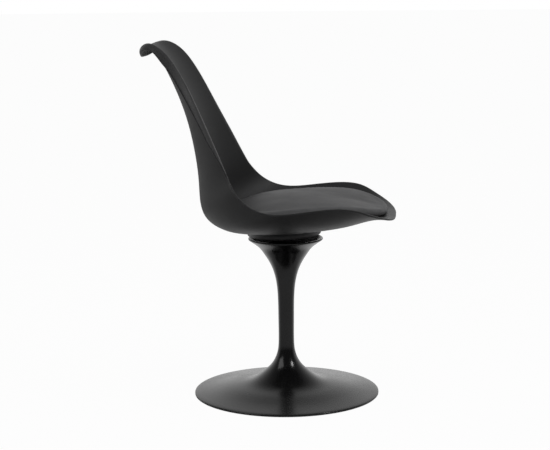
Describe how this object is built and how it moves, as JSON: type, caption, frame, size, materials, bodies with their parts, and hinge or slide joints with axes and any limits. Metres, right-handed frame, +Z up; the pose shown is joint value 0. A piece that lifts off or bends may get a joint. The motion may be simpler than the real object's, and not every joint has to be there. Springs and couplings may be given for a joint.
{
  "type": "swivel dining chair",
  "caption": "Armless swivel dining chair: a moulded bucket shell with a rolled edge and a loose round-cornered cushion, on a trumpet-shaped metal pedestal.",
  "frame": {"origin": "on the floor, on the swivel axis, at the centre of the floor pad's underside", "axes": "+X the way the sitter faces, +Y the sitter's left, +Z up along the swivel axis"},
  "size_m": [0.5713, 0.4756, 0.8063],
  "materials": {
    "shell_plastic": "satin black moulded plastic",
    "satin_metal": "satin black powder coat",
    "cushion_leather": "smooth dark grey leatherette",
    "zinc_steel": "zinc plate",
    "black_steel": "black painted steel",
    "bearing_steel": "polished",
    "cast_metal": "rough cast",
    "bush_nylon": "natural nylon",
    "pad_rubber": "matt",
    "board_wood": "raw plywood",
    "strip_nylon": "hook-and-loop tape"
  },
  "bodies": {
    "base": {"pedestal": "satin_metal", "floor_pad": "pad_rubber", "ballast_plate": "cast_metal", "bearing_carrier": "black_steel", "upper_bush": "bush_nylon", "lower_bush": "bush_nylon", "lower_race": "bearing_steel", "ball_cage": "bush_nylon", "ball_01": "bearing_steel", "ball_02": "bearing_steel", "ball_03": "bearing_steel", "ball_04": "bearing_steel", "ball_05": "bearing_steel", "ball_06": "bearing_steel", "ball_07": "bearing_steel", "ball_08": "bearing_steel", "ball_09": "bearing_steel", "ball_10": "bearing_steel", "ball_11": "bearing_steel", "ball_12": "bearing_steel"},
    "seat": {"upper_race": "bearing_steel", "spindle": "zinc_steel", "spindle_washer": "zinc_steel", "spindle_nut": "zinc_steel", "swivel_plate": "black_steel", "plate_bolt_1": "zinc_steel", "plate_bolt_2": "zinc_steel", "plate_bolt_3": "zinc_steel", "plate_bolt_4": "zinc_steel", "plate_washer_1": "zinc_steel", "plate_washer_2": "zinc_steel", "plate_washer_3": "zinc_steel", "plate_washer_4": "zinc_steel", "plate_nut_1": "black_steel", "plate_nut_2": "black_steel", "plate_nut_3": "black_steel", "plate_nut_4": "black_steel", "seat_shell": "shell_plastic", "cushion_board": "board_wood", "hook_strip_front": "strip_nylon", "hook_strip_rear": "strip_nylon", "cushion": "cushion_leather"}
  },
  "joints": [
    {"name": "seat_swivel", "type": "hinge", "parent": "base", "child": "seat", "pos_m": [0, 0, 0.36], "axis": [0, 0, 1], "continuous": true}
  ]
}
